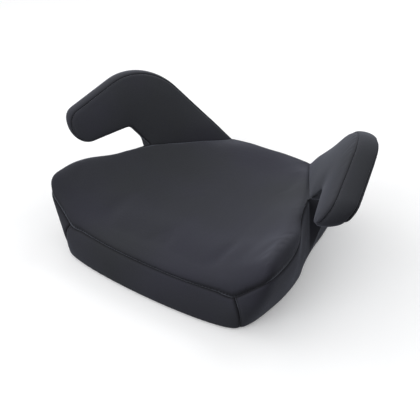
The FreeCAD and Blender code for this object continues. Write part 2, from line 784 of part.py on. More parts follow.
os.makedirs("parts", exist_ok=True)
for name, item in parts.items():
    item.Label = name
    shape = item.Shape
    if shape.isNull() or not shape.isValid() or not shape.Solids:
        raise RuntimeError("%s has no valid solid" % name)
    shape.exportStep("parts/%s.step" % name)
    print("%-24s solids %2d  volume %9.0f mm3" % (name, len(shape.Solids), shape.Volume))
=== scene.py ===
import math

import bmesh
import bpy
import numpy as np
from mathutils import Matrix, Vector, geometry


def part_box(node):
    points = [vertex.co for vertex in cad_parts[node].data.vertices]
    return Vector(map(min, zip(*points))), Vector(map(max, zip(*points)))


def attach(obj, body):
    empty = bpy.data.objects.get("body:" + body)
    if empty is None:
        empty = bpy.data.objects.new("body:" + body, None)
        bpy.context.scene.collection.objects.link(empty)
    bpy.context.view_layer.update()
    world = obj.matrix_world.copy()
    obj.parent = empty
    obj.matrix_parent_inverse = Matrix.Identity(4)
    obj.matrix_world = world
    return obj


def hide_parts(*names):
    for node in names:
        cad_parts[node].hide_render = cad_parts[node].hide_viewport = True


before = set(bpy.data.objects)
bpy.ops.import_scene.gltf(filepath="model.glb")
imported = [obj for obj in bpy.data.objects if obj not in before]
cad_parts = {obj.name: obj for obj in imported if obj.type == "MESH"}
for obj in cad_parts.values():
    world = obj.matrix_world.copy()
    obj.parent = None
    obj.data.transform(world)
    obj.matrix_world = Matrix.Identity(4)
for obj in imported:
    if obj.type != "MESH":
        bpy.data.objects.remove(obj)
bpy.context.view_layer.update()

MM = 0.001
ELASTIC_INSET = 3.0        # the elastic's outer edge is this far inside the hem
HEM_REAR = 0.933           # the hem's rear, as a share of its reference half depth
RIM_FLARE = 1.1863         # how much wider the seat is at rim height than at the hem
hem_low, hem_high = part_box("hem_elastic")
HEM_HALF_WIDTH = hem_high.x / MM + ELASTIC_INSET
HALF_DEPTH = ((hem_high.y - hem_low.y) / MM + 2 * ELASTIC_INSET) / (1.0 + HEM_REAR)
CENTRE_Y = (hem_high.y + hem_low.y) / 2 / MM + (1.0 - HEM_REAR) / 2 * HALF_DEPTH
HEM_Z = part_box("cover_front_band")[0].z / MM
RIM_HALF_WIDTH = RIM_FLARE * HEM_HALF_WIDTH
RIM_HEIGHT = 110.0         # height of the rim outline above the hem
WALL_PUFF = 3.0            # how far the front and side bands swell between hem and seam
FABRIC_THICK = 1.6
STEP_NUDGE = 0.05          # small step along an outline, to find its direction


def place(points):
    """Construction millimetres to frame metres."""
    return (np.asarray(points, float) + [0.0, CENTRE_Y, HEM_Z]) * MM


# ---------------------------------------------------------------- small maths

def smoothstep(low, high, value):
    """Smooth 0 to 1 ramp between low and high."""
    ramp = np.clip((value - low) / (high - low), 0.0, 1.0)
    return ramp * ramp * (3.0 - 2.0 * ramp)


def unit(vectors):
    """Vectors scaled to length one."""
    vectors = np.asarray(vectors, float)
    return vectors / np.maximum(np.linalg.norm(vectors, axis=-1, keepdims=True), 1e-9)


def catmull(knots, values, at):
    """Smooth curve through values at increasing knots, evaluated at the given places."""
    knots = np.asarray(knots, float)
    values = np.asarray(values, float)
    slopes = np.gradient(values, knots, axis=0)
    at = np.clip(np.asarray(at, float), knots[0], knots[-1])
    index = np.clip(np.searchsorted(knots, at, side="right") - 1, 0, len(knots) - 2)
    step = knots[index + 1] - knots[index]
    ratio = (at - knots[index]) / step
    if values.ndim > 1:
        step, ratio = step[..., None], ratio[..., None]
    square, cube = ratio ** 2, ratio ** 3
    start = (2 * cube - 3 * square + 1) * values[index] + (cube - 2 * square + ratio) * step * slopes[index]
    end = (3 * square - 2 * cube) * values[index + 1] + (cube - square) * step * slopes[index + 1]
    return start + end


def quarter_turn(directions):
    """Flat directions turned a quarter to the left."""
    return np.stack([-directions[:, 1], directions[:, 0]], axis=1)


def loop_sides(loop):
    """Flat directions to the left of a closed loop, at each of its points."""
    return quarter_turn(unit(np.roll(loop, -1, axis=0) - np.roll(loop, 1, axis=0)))


def lengths_along(line):
    """How far along a polyline each of its points is."""
    return np.concatenate([[0.0], np.cumsum(np.linalg.norm(np.diff(line, axis=0), axis=1))])


def resample(line, spacing):
    """Points at an even spacing along a polyline."""
    line = np.asarray(line, float)
    along = lengths_along(line)
    count = max(2, int(round(along[-1] / spacing)) + 1)
    places = np.linspace(0.0, along[-1], count)
    return np.stack([np.interp(places, along, line[:, axis]) for axis in range(line.shape[1])], axis=1)


# ---------------------------------------------------------------- outlines of the seat

# Right half of the outlines, as fractions, at steps 0 (front middle) to 15 (back middle).
HEM_OUTLINE = np.array([
    (0.00, -1.00), (0.37, -0.99), (0.68, -0.96), (0.87, -0.91), (0.945, -0.81), (0.98, -0.65),
    (1.00, -0.41), (0.98, -0.17), (0.925, 0.01), (0.88, 0.22), (0.857, 0.415), (0.826, 0.60),
    (0.77, 0.82), (0.62, 0.925), (0.31, HEM_REAR), (0.00, HEM_REAR),
])
RIM_OUTLINE = np.array([
    (0.00, -0.859), (0.314, -0.854), (0.587, -0.833), (0.819, -0.844), (0.98, -0.854), (1.00, -0.668),
    (0.952, -0.423), (0.821, -0.185), (0.757, 0.00), (0.738, 0.192), (0.717, 0.374), (0.623, 0.572),
    (0.524, 0.767), (0.45, 0.833), (0.251, 0.756), (0.00, 0.756),
])
BACK_STEP = 15.0
WAIST_STEP = 8.65          # where the arm's root starts, at the seat's narrowest place
ROOT_STEP = 8.95           # the root's outer front corner
FLARE_END = 10.2           # behind this the wall stops flaring out to the arm
REAR_STEP = 13.0           # the root's outer rear corner
RIM_STEP = 13.3            # the root's inner rear corner, where the back rim starts
CORNER_TOP_STEP = 2.68     # the front corner seam at the top
CORNER_LOW_STEP = 3.35     # and at the hem
LEAN_END = 5.5             # behind this the wall's upright lines no longer lean sideways
FRONT_SEAM_HEIGHT = 45.0
SEAM_STEPS = [0.0, 1.0, 2.0, CORNER_TOP_STEP, 3.0, 3.5, 4.0, 5.0, 6.0, 7.0, 8.0, WAIST_STEP]
SEAM_HEIGHTS = [43.5, 44.0, 44.5, FRONT_SEAM_HEIGHT, 54.0, 69.0, 80.0, 83.5, 87.0, 91.0, 95.0, 94.0]


def outline(half, width, step):
    """Point of a mirrored outline at a step from -15 to 15."""
    step = np.asarray(step, float)
    padded = np.concatenate([half[2:0:-1] * [-1, 1], half, half[-2:-4:-1] * [-1, 1]])
    knots = np.arange(-2, len(half) + 2)
    point = catmull(knots, padded, np.abs(step)) * [width, HALF_DEPTH]
    sign = np.where(step < 0, -1.0, 1.0)
    return point * np.stack([sign, np.ones_like(sign)], axis=-1)


def hem_direction(step):
    """Direction in which the hem runs backwards at a step from 0 to 15."""
    ahead = outline(HEM_OUTLINE, HEM_HALF_WIDTH, np.minimum(step + STEP_NUDGE, BACK_STEP))
    behind = outline(HEM_OUTLINE, HEM_HALF_WIDTH, np.maximum(step - STEP_NUDGE, 0.0))
    return unit(ahead - behind)


# ---------------------------------------------------------------- arm frame

ARM_LEAN = math.radians(27.8)
ARM_SPLAY = math.radians(21.1)
ARM_THICK = 30.0
ARM_CENTRE = np.array([170.3, 18.2, 140.8])
ARM_FORWARD = np.array([math.sin(ARM_SPLAY), -math.cos(ARM_SPLAY), 0.0])
ARM_SIDE = np.array([math.cos(ARM_SPLAY), math.sin(ARM_SPLAY), 0.0])
ARM_OUT = np.array([
    math.cos(ARM_LEAN) * math.cos(ARM_SPLAY), math.cos(ARM_LEAN) * math.sin(ARM_SPLAY), -math.sin(ARM_LEAN),
])
ARM_UP = np.cross(ARM_FORWARD, ARM_OUT)
ROOT_FRONT = (-15.0, -54.0)    # the root's front and rear corners in the arm's side view
ROOT_REAR = (-161.0, -84.5)
ROOT_PULL = 5.0            # the root curves inwards by this much
ROOT_PULL_TOP = -10.0      # and is straight above this height in the side view


def arm_point(flat, side=0.0):
    """Point of the arm from its side-view place and a distance sideways. The root curves inwards."""
    flat = np.asarray(flat, float)
    side = np.asarray(side, float) - ROOT_PULL * (1.0 - smoothstep(ROOT_REAR[1], ROOT_PULL_TOP, flat[..., 1]))
    side = side[..., None]
    return ARM_CENTRE + flat[..., :1] * ARM_FORWARD + flat[..., 1:2] * ARM_UP + side * ARM_SIDE


F_IN, F_OUT = arm_point(ROOT_FRONT), arm_point(ROOT_FRONT, ARM_THICK)
C_IN, C_OUT = arm_point(ROOT_REAR), arm_point(ROOT_REAR, ARM_THICK)
BACK_MIDDLE = np.array([0.0, 146.0, 74.0])
BACK_ARCH = 2.0            # the back rim arches up by this much


# ---------------------------------------------------------------- side walls

WALL_UPRIGHT = 0.6         # at the hem a wall leans this share of its whole lean


def wall_top(step):
    """Top edge of the wall: the top seam, then round the arm's root, then the back rim."""
    step = np.asarray(step, float)
    side = np.abs(step)
    height = catmull(SEAM_STEPS, SEAM_HEIGHTS, side)
    hem = outline(HEM_OUTLINE, HEM_HALF_WIDTH, side)
    rim = outline(RIM_OUTLINE, RIM_HALF_WIDTH, side)
    flat = hem + (rim - hem) * (height / RIM_HEIGHT)[..., None]
    seam = np.concatenate([flat, height[..., None]], axis=-1)
    knots = [WAIST_STEP, ROOT_STEP, REAR_STEP, RIM_STEP, BACK_STEP]
    corners = np.array([F_IN, F_OUT, C_OUT, C_IN, BACK_MIDDLE])
    root = np.stack([np.interp(side, knots, corners[:, axis]) for axis in range(3)], axis=-1)
    back = smoothstep(RIM_STEP, BACK_STEP, side)
    root[..., 2] += BACK_ARCH * np.sin(math.pi * back)
    mix = smoothstep(WAIST_STEP - 0.5, WAIST_STEP, side)[..., None]
    join = seam + (F_IN - wall_seam_end(WAIST_STEP)) * mix
    top = np.where((side < WAIST_STEP)[..., None], join, root)
    top[..., 0] *= np.where(step < 0, -1.0, 1.0)
    return top


def wall_seam_end(step):
    """Where the straight side wall would put its top at a step."""
    height = float(catmull(SEAM_STEPS, SEAM_HEIGHTS, step))
    hem = outline(HEM_OUTLINE, HEM_HALF_WIDTH, step)
    rim = outline(RIM_OUTLINE, RIM_HALF_WIDTH, step)
    return np.append(hem + (rim - hem) * height / RIM_HEIGHT, height)


def wall(step, rise):
    """Wall point at a step round the seat and a rise from 0 at the hem to 1 at the top."""
    step = np.asarray(step, float)
    rise = np.asarray(rise, float)
    side = np.abs(step)
    low = np.concatenate([outline(HEM_OUTLINE, HEM_HALF_WIDTH, side), np.zeros(side.shape + (1,))], axis=-1)
    top = wall_top(side)
    chord = top - low
    flare = smoothstep(ROOT_STEP - 0.1, ROOT_STEP + 0.5, side)
    flare *= 1.0 - smoothstep(FLARE_END, REAR_STEP - 0.5, side)
    lean = ARM_UP / ARM_UP[2] * chord[..., 2:3]
    end = chord + (lean - chord) * flare[..., None]
    start = chord * [WALL_UPRIGHT, WALL_UPRIGHT, 1.0]
    start = chord + (start - chord) * flare[..., None]
    ratio = rise[..., None]
    square, cube = ratio ** 2, ratio ** 3
    point = (2 * cube - 3 * square + 1) * low + (cube - 2 * square + ratio) * start
    point = point + (3 * square - 2 * cube) * top + (cube - square) * end
    tangent = hem_direction(side)
    puff = WALL_PUFF * (1.0 - smoothstep(WAIST_STEP - 1.0, WAIST_STEP, side)) * np.sin(math.pi * rise)
    point = point + np.stack([tangent[..., 1] * puff, -tangent[..., 0] * puff, np.zeros_like(puff)], axis=-1)
    point[..., 0] *= np.where(step < 0, -1.0, 1.0)
    return point


# ---------------------------------------------------------------- seat surface

# Stations from front to back: how far along, then the height in the middle and at the edge, the half
# width that the edge height belongs to, and how late the surface rises towards the edge.
CROWN_REACH = 180.0
CROWN_Y = np.array([-1.10, -0.95, -0.86, -0.67, -0.39, -0.06, 0.14, 0.45, 0.81, 1.07]) * CROWN_REACH
CROWN_MIDDLE = [52.0, 54.0, 56.0, 58.0, 57.0, 58.0, 60.0, 65.0, 75.0, 75.0]
CROWN_WING = [99.0, 109.0, 113.0, 114.0, 106.0, 98.0, 95.0, 83.0, 71.0, 71.0]
CROWN_HALF = [171.0, 174.0, 175.0, 174.0, 167.0, 146.0, 139.0, 108.0, 71.0, 71.0]
CROWN_POWER = [5.0, 4.5, 4.2, 3.4, 2.8, 2.5, 2.3, 2.0, 2.0, 2.0]


def crown(x, y):
    """Height of the seat's padded top before its edges roll over."""
    middle, wing, half, power = [
        catmull(CROWN_Y, values, y) for values in (CROWN_MIDDLE, CROWN_WING, CROWN_HALF, CROWN_POWER)
    ]
    ratio = np.clip(np.abs(x) / half, 0.0, 1.05)
    return middle + (wing - middle) * ratio ** power


# ---------------------------------------------------------------- meshes

CHUNK = 400                # points compared at a time, to save memory


def edge_distance(points, loop):
    """Distance of flat points to a closed loop."""
    along = np.roll(loop, -1, axis=0) - loop
    size = np.maximum((along ** 2).sum(1), 1e-12)
    best = np.empty(len(points))
    for first in range(0, len(points), CHUNK):
        offset = points[first:first + CHUNK][:, None] - loop[None]
        ratio = np.clip((offset * along).sum(2) / size, 0, 1)
        best[first:first + CHUNK] = np.linalg.norm(offset - ratio[..., None] * along, axis=2).min(1)
    return best


def inside(points, loop):
    """Which flat points are inside a closed loop."""
    start, end = loop, np.roll(loop, -1, axis=0)
    result = np.zeros(len(points), bool)
    for (x0, y0), (x1, y1) in zip(start, end):
        if y0 != y1:
            crosses = (points[:, 1] > min(y0, y1)) & (points[:, 1] <= max(y0, y1))
            reach = x0 + (points[:, 1] - y0) * (x1 - x0) / (y1 - y0)
            result ^= crosses & (points[:, 0] < reach)
    return result


def fill_loop(loop, spacing, rings):
    """Triangles that fill a flat closed loop: rings close to the edge, an even lattice inside.

    Gives the points, the faces and, for every point, its number in the loop if it's on it."""
    inward = loop_sides(loop)
    area = (loop[:, 0] * np.roll(loop[:, 1], -1) - np.roll(loop[:, 0], -1) * loop[:, 1]).sum()
    inward *= math.copysign(1.0, area)
    sets = []
    for distance in rings:
        ring = loop + inward * distance
        gap = edge_distance(ring, loop)
        sets.append(ring[(gap > 0.92 * distance) & inside(ring, loop)])
    low, high = loop.min(0), loop.max(0)
    rows = np.arange(low[1], high[1], spacing * 0.866)
    lattice = np.array([
        (x, y) for number, y in enumerate(rows)
        for x in np.arange(low[0] + (number % 2) * spacing / 2, high[0], spacing)
    ])
    gap = edge_distance(lattice, loop)
    sets.append(lattice[(gap > rings[-1] + 0.55 * spacing) & inside(lattice, loop)])
    points = np.concatenate([loop] + sets)
    edges = [(index, (index + 1) % len(loop)) for index in range(len(loop))]
    coords = [Vector(point) for point in points]
    found, _, faces, origins, _, _ = geometry.delaunay_2d_cdt(coords, edges, [], 1, 1e-6)
    flat = np.array([tuple(point) for point in found])
    order = [origin[0] if origin else -1 for origin in origins]
    return flat, [list(face) for face in faces], order


def new_mesh(name, points, faces):
    """Mesh of the given points and faces."""
    mesh = bpy.data.meshes.new(name)
    mesh.from_pydata([tuple(point) for point in points], [], [tuple(map(int, face)) for face in faces])
    return mesh


def turned_outwards(mesh):
    """Working copy of a mesh, its faces turned outwards."""
    work = bmesh.new()
    work.from_mesh(mesh)
    bmesh.ops.recalc_face_normals(work, faces=work.faces)
    return work


def add_object(name, data):
    """Object with the given data, linked to the scene."""
    item = bpy.data.objects.new(name, data)
    bpy.context.scene.collection.objects.link(item)
    return item


def new_object(name, points, faces):
    """Smooth mesh object from construction points."""
    mesh = new_mesh(name, place(points), faces)
    mesh.validate()
    mesh.update()
    work = turned_outwards(mesh)
    work.to_mesh(mesh)
    work.free()
    mesh.polygons.foreach_set("use_smooth", [True] * len(mesh.polygons))
    return add_object(name, mesh)


def grid_faces(rows, columns, closed=False):
    """Quads of a rows by columns grid of points, whose rows can be closed rings."""
    return [
        (row * columns + column, row * columns + (column + 1) % columns,
         (row + 1) * columns + (column + 1) % columns, (row + 1) * columns + column)
        for row in range(rows - 1) for column in range(columns if closed else columns - 1)
    ]


def weld(patches):
    """Joins patches that share edge points. Gives the points, the faces and, for each patch, which
    of the joined points are its own."""
    points, numbers, faces, maps = [], {}, [], []
    for patch_points, patch_faces in patches:
        chosen = []
        for point in patch_points:
            key = tuple(np.round(point, 2))
            if key not in numbers:
                numbers[key] = len(points)
                points.append(point)
            chosen.append(numbers[key])
        chosen = np.array(chosen)
        maps.append(chosen)
        for face in patch_faces:
            corners = [chosen[index] for index in face]
            if len(set(corners)) == len(corners):
                faces.append(corners)
            elif len(set(corners)) == 3:
                faces.append(list(dict.fromkeys(corners)))
    return np.array(points), faces, maps


def vertex_normals(points, faces):
    """Area weighted normals of a mesh."""
    total = np.zeros_like(points)
    for face in faces:
        for index in range(1, len(face) - 1):
            a, b, c = face[0], face[index], face[index + 1]
            normal = np.cross(points[b] - points[a], points[c] - points[a])
            total[a] += normal
            total[b] += normal
            total[c] += normal
    return unit(total)


def nearest_distance(points, line):
    """Distance of each point to the closest point of a densely sampled line."""
    gaps = np.empty(len(points))
    for first in range(0, len(points), CHUNK):
        chunk = points[first:first + CHUNK]
        gaps[first:first + CHUNK] = np.linalg.norm(chunk[:, None] - line[None], axis=2).min(1)
    return gaps


def consistent(points, faces):
    """The same closed mesh with every face turned outwards."""
    mesh = new_mesh("turned", points, faces)
    work = turned_outwards(mesh)
    turned = [[vertex.index for vertex in face.verts] for face in work.faces]
    work.free()
    bpy.data.meshes.remove(mesh)
    return turned


# ---------------------------------------------------------------- padding by cloth simulation

INFLATE_FRAMES = 20
INFLATE_PRESSURE = 4.0
FABRIC_MASS = 0.3
FOLD_DEPTH = 1.0           # folds never sink deeper than this under the skin's first shape


def inflate(points, faces, pinned, limit, stiffness):
    """Blows a closed skin up with its seams held, and caps how far it swells or folds."""
    mesh = new_mesh("padding", points * MM, faces)
    item = add_object("padding", mesh)
    group = item.vertex_groups.new(name="held")
    group.add([int(index) for index in np.flatnonzero(pinned)], 1.0, "REPLACE")
    cloth = item.modifiers.new("cloth", "CLOTH")
    settings = cloth.settings
    settings.vertex_group_mass = "held"
    settings.quality = 6
    settings.mass = FABRIC_MASS
    settings.tension_stiffness = stiffness
    settings.compression_stiffness = stiffness
    settings.shear_stiffness = stiffness / 2
    settings.bending_stiffness = stiffness / 24
    settings.use_pressure = True
    settings.uniform_pressure_force = INFLATE_PRESSURE
    settings.effector_weights.gravity = 0.0
    cloth.collision_settings.use_collision = False
    cloth.point_cache.frame_start = 1
    cloth.point_cache.frame_end = INFLATE_FRAMES
    scene = bpy.context.scene
    for frame_number in range(1, INFLATE_FRAMES + 1):
        scene.frame_set(frame_number)
        moved_mesh = item.evaluated_get(bpy.context.evaluated_depsgraph_get()).to_mesh()
    flat = np.empty(len(points) * 3)
    moved_mesh.vertices.foreach_get("co", flat)
    moved = flat.reshape(-1, 3) / MM - points
    item.evaluated_get(bpy.context.evaluated_depsgraph_get()).to_mesh_clear()
    scene.frame_set(1)
    bpy.data.objects.remove(item)
    bpy.data.meshes.remove(mesh)
    size = np.linalg.norm(moved, axis=1, keepdims=True)
    moved *= limit * np.tanh(size / limit) / np.maximum(size, 1e-6)
    normals = vertex_normals(points, faces)
    sunk = np.maximum(-(moved * normals).sum(1) - FOLD_DEPTH, 0.0)
    return points + moved + normals * sunk[:, None]


def pinch(points, normals, gap, depth, width):
    """Sinks points next to a seam."""
    return points - normals * (depth * np.exp(-(gap / width) ** 2))[:, None]


# ---------------------------------------------------------------- seat skin

RISE_ROWS = [
    1, 0.975, 0.945, 0.905, 0.85, 0.78, 0.7, 0.61, 0.52, 0.43, 0.34, 0.25, 0.17, 0.1, 0.05, 0.02, 0,
]
# The turned edge under the hem: how far inwards and how far up each row is.
HEM_ROLL = [(0.7, -0.8), (2.0, -1.5), (4.5, -1.7), (8.0, -1.3), (12.0, -0.7)]
GATHER_PITCH = 9.0         # length of a gather of the turned edge
GATHER_DEPTH = 0.0495      # its height, as a share of the distance from the hem
SEAT_SPACING = 4.5         # mesh spacing along the seams
PANEL_SPACING = 6.5        # and inside the top panel
SEAM_RINGS = [1.3, 2.8, 5.0, 8.0]
CAP_CENTRE = np.array([0.0, 0.0, 5.0])
ROLL_POWER = 2.3           # how full the rolled edge is, 2 being a quarter of an ellipse
ROLL_SLOPE = 0.55          # how the roll widens with the edge's drop
ROLL_LEAST = 11.0
ROLL_MOST = 38.0
ROLL_AT_ROOT = 13.0
EDGE_BLEND = 0.6           # a point takes its edge height from the loop's points, by nearness
EDGE_FOCUS = 3.5


def spaced_steps(start, end):
    """Steps whose top edge points are evenly spaced."""
    fine = np.linspace(start, end, 200)
    line = wall_top(np.clip(fine, start + 1e-6, end - 1e-6))
    along = lengths_along(line)
    count = max(2, int(round(along[-1] / SEAT_SPACING)))
    return np.interp(np.linspace(0, along[-1], count + 1), along, fine)


def low_step(step):
    """Hem step under a top step: the front corner seams lean outwards on their way down."""
    tops = [0.0, CORNER_TOP_STEP, LEAN_END, BACK_STEP]
    return np.interp(step, tops, [0.0, CORNER_LOW_STEP, LEAN_END, BACK_STEP])


def wall_columns(steps):
    """Grid of wall points: a row for every rise, then the roll under the hem."""
    rows = []
    for rise in RISE_ROWS:
        leaned = low_step(steps) + (steps - low_step(steps)) * rise
        rows.append(wall(leaned, np.full(len(steps), rise)))
        if rise == 1:
            rows[-1] = wall_top(steps)
    hem = rows[-1]
    tangent = hem_direction(low_step(steps))
    inward = np.stack([-tangent[:, 1], tangent[:, 0], np.zeros(len(steps))], axis=1)
    along = lengths_along(hem)
    waves = np.round(along[-1] / GATHER_PITCH)
    for inset, drop in HEM_ROLL:
        gather = GATHER_DEPTH * inset * np.sin(along / along[-1] * waves * math.tau)
        rows.append(hem + inward * inset + np.array([0.0, 0.0, 1.0]) * (drop + gather)[:, None])
    return np.array(rows)


def mirror(points):
    """Points mirrored across the seat's middle plane."""
    return points * [-1.0, 1.0, 1.0]


def root_line(start, end):
    """Points along one long edge of an arm's root."""
    count = int(round(np.linalg.norm(end - start) / SEAT_SPACING)) + 1
    return start + (end - start) * np.linspace(0, 1, count)[:, None]


def top_loop():
    """Edge of the seat's top panel, with how many points its side seam and an arm's root have."""
    front = spaced_steps(0.0, CORNER_TOP_STEP)
    side = spaced_steps(CORNER_TOP_STEP, WAIST_STEP)
    back = spaced_steps(RIM_STEP, BACK_STEP)
    seam = np.concatenate([wall_top(front)[:-1], wall_top(side)])
    seam[-1] = F_IN
    root = root_line(F_IN, C_IN)
    rear = wall_top(back)
    half = np.concatenate([seam, root[1:-1], rear])
    return np.concatenate([half, mirror(half[-2:0:-1])]), len(seam), len(root)


def top_heights(flat, loop, junction):
    """Padded height of the top panel, rolled over to meet its edge.

    The taller the edge's drop, the wider the roll. At the arms' roots (junction 1) it's narrow."""
    height = crown(flat[:, 0], flat[:, 1])
    gap = np.linalg.norm(flat[:, None] - loop[None, :, :2], axis=2)
    weight = 1.0 / (gap + EDGE_BLEND) ** EDGE_FOCUS
    weight /= weight.sum(1, keepdims=True)
    edge = weight @ loop[:, 2]
    drop = np.maximum(height - edge, 0.0)
    radius = np.clip(ROLL_SLOPE * drop + ROLL_LEAST, ROLL_LEAST + 1.0, ROLL_MOST)
    radius = radius + (ROLL_AT_ROOT - radius) * (weight @ junction)
    ratio = np.clip(gap.min(1) / radius, 0.0, 1.0)
    return edge + (height - edge) * (1.0 - (1.0 - ratio) ** ROLL_POWER) ** (1.0 / ROLL_POWER)


def seat_skin():
    """Patches of the seat's cover by name, each its points and faces, and caps that close the skin."""
    loop, seam_count, root_count = top_loop()
    junction = np.zeros(len(loop))
    junction[seam_count - 1:seam_count + root_count - 1] = 1.0
    junction[-(seam_count + root_count - 2):-(seam_count - 1) + 1] = 1.0
    flat, faces, order = fill_loop(loop[:, :2], PANEL_SPACING, SEAM_RINGS)
    top = np.concatenate([flat, top_heights(flat, loop, junction)[:, None]], axis=1)
    for index, source in enumerate(order):
        if 0 <= source < len(loop):
            top[index] = loop[source]
    patches = {"top": (top, faces)}
    spans = {
        "front": (0.0, CORNER_TOP_STEP),
        "side": (CORNER_TOP_STEP, WAIST_STEP),
        "root": (WAIST_STEP, ROOT_STEP),
        "flank": (ROOT_STEP, REAR_STEP),
        "rear": (REAR_STEP, RIM_STEP),
        "back": (RIM_STEP, BACK_STEP),
    }
    cap_points, cap_faces = [CAP_CENTRE], []
    for name, (start, end) in spans.items():
        grid = wall_columns(spaced_steps(start, end))
        if start == 0.0:
            grid[:, 0, 0] = 0.0
        if end == BACK_STEP:
            grid[:, -1, 0] = 0.0
        quads = grid_faces(grid.shape[0], grid.shape[1])
        for side, turn in (("_left", 1), ("_right", -1)):
            shown = grid.reshape(-1, 3) if turn == 1 else mirror(grid.reshape(-1, 3))
            patches[name + side] = (shown, quads)
            first = len(cap_points)
            cap_points += list(shown[-grid.shape[1]:])
            cap_faces += [(0, first + number, first + number + 1) for number in range(grid.shape[1] - 1)]
    inner, outer = root_line(F_IN, C_IN), root_line(F_OUT, C_OUT)
    across = spaced_steps(WAIST_STEP, ROOT_STEP)
    root_grid = np.array([inner + (outer - inner) * ratio for ratio in np.linspace(0, 1, len(across))])
    caps = [(np.array(cap_points), cap_faces)]
    for shown in (root_grid.reshape(-1, 3), mirror(root_grid.reshape(-1, 3))):
        caps.append((shown, grid_faces(root_grid.shape[0], root_grid.shape[1])))
    return patches, caps


SEAM_DEPTH = 2.1           # depth and half width of the groove that a seam pulls in
SEAM_WIDTH = 2.0
SEAM_SHADE_WIDTH = 1.5     # half width of the painted shade line along the groove
HEM_HOLD = 6.0             # the hem is kept in place up to this height
SEAT_HELD = 2.0            # seams hold the skin this far to either side
ARM_HELD = 1.0
SEAT_LIMIT = 4.0           # how far the padding may swell out
ARM_LIMIT = 6.0
SEAT_STIFFNESS = 12.0
ARM_STIFFNESS = 1.5
FAR_FROM_SEAM = 50.0


def padded_skin(patches, caps, seam_lines, held_gap, limit, stiffness):
    """Welds the patches into one skin, pads it and gives every patch its new points."""
    points, faces, maps = weld(list(patches.values()) + caps)
    faces = consistent(points, faces)
    capped = np.zeros(len(points), bool)
    for chosen in maps[len(patches):]:
        capped[chosen] = True
    gap = nearest_distance(points, seam_lines)
    held = capped | (gap < held_gap) | (points[:, 2] < HEM_HOLD)
    moved = inflate(points, faces, held, limit, stiffness)
    moved = np.where(held[:, None], points, moved)
    normals = vertex_normals(moved, faces)
    moved = pinch(moved, normals, np.where(capped, FAR_FROM_SEAM, gap), SEAM_DEPTH, SEAM_WIDTH)
    return {
        name: {"points": moved[chosen], "normals": normals[chosen], "gap": gap[chosen], "faces": patch[1]}
        for (name, patch), chosen in zip(patches.items(), maps)
    }


def seat_seams():
    """Dense points along the seat's sewn lines."""
    steps = np.linspace(0.0, WAIST_STEP, 500)
    lines = [wall_top(steps), wall_top(np.linspace(RIM_STEP, BACK_STEP, 150))]
    rise = np.linspace(0.0, 1.0, 60)
    corner = CORNER_LOW_STEP + (CORNER_TOP_STEP - CORNER_LOW_STEP) * rise
    lines.append(wall(corner, rise))
    lines.append(F_IN + (C_IN - F_IN) * np.linspace(0, 1, 200)[:, None])
    half = np.concatenate(lines)
    return np.concatenate([half, mirror(half)])


# ---------------------------------------------------------------- arm skin

# Side view corners of the arm from the root's front corner, under the horn, over its tip and back
# down to the root's rear corner, each with the radius that rounds it.
ARM_CORNERS = [
    (ROOT_FRONT, 0.0), ((5.8, -21.5), 9.0), ((97.0, -31.0), 25.0), ((97.0, 15.5), 22.0),
    ((-48.5, 72.5), 88.0), (ROOT_REAR, 0.0),
]
ARM_TAPER = 6.5            # the outer face is this much smaller all round than the inner face
ARM_TAPER_POWER = 2.2
ARM_CROWN = 5.0            # the padded faces stand this far out of their seams
ARM_ROLL = 17.0            # and roll down to them over this distance
STRIP_CROWN = 2.0          # the padded edge strip stands this far out
ARM_FADE = 30.0            # padding fades out this close to the root
TAPER_FADE = 40.0
ARM_RINGS = [1.2, 2.6, 4.6, 7.2]
ARM_PANEL_SPACING = 5.5
ARC_POINTS = 24
STRIP_ROWS = [0.0, 0.045, 0.1, 0.18, 0.3, 0.43, 0.57, 0.7, 0.82, 0.9, 0.955, 1.0]
RIM_TOLERANCE = 0.6        # points this close to the sampled rim are on it
ARM_SPACING = 4.0


def rounded_line(corners):
    """Polyline through corners that are rounded by their radius."""
    line = [np.array(corners[0][0])]
    for index in range(1, len(corners) - 1):
        before, (corner, radius), after = corners[index - 1][0], corners[index], corners[index + 1][0]
        corner = np.array(corner)
        back, ahead = unit(np.array(before) - corner), unit(np.array(after) - corner)
        half_angle = math.acos(float(np.clip(back @ ahead, -1, 1))) / 2
        reach = radius / math.tan(half_angle)
        middle = corner + unit(back + ahead) * radius / math.sin(half_angle)
        start, end = corner + back * reach - middle, corner + ahead * reach - middle
        turn = math.atan2(start[0] * end[1] - start[1] * end[0], float(start @ end))
        for ratio in np.linspace(0, 1, ARC_POINTS):
            angle = turn * ratio
            cosine, sine = math.cos(angle), math.sin(angle)
            line.append(middle + [start[0] * cosine - start[1] * sine, start[0] * sine + start[1] * cosine])
    line.append(np.array(corners[-1][0]))
    return np.array(line)


def face_padding(flat, rim, root):
    """How far an arm's face stands out of its seams: rolled at the rim and flush at the root."""
    from_rim = np.maximum(nearest_distance(flat, rim) - RIM_TOLERANCE, 0.0)
    from_root = nearest_distance(flat, resample(root, 1.0))
    roll = 1.0 - (1.0 - np.clip(from_rim / ARM_ROLL, 0.0, 1.0)) ** 2
    return ARM_CROWN * np.sqrt(roll) * smoothstep(0.0, ARM_FADE, from_root)


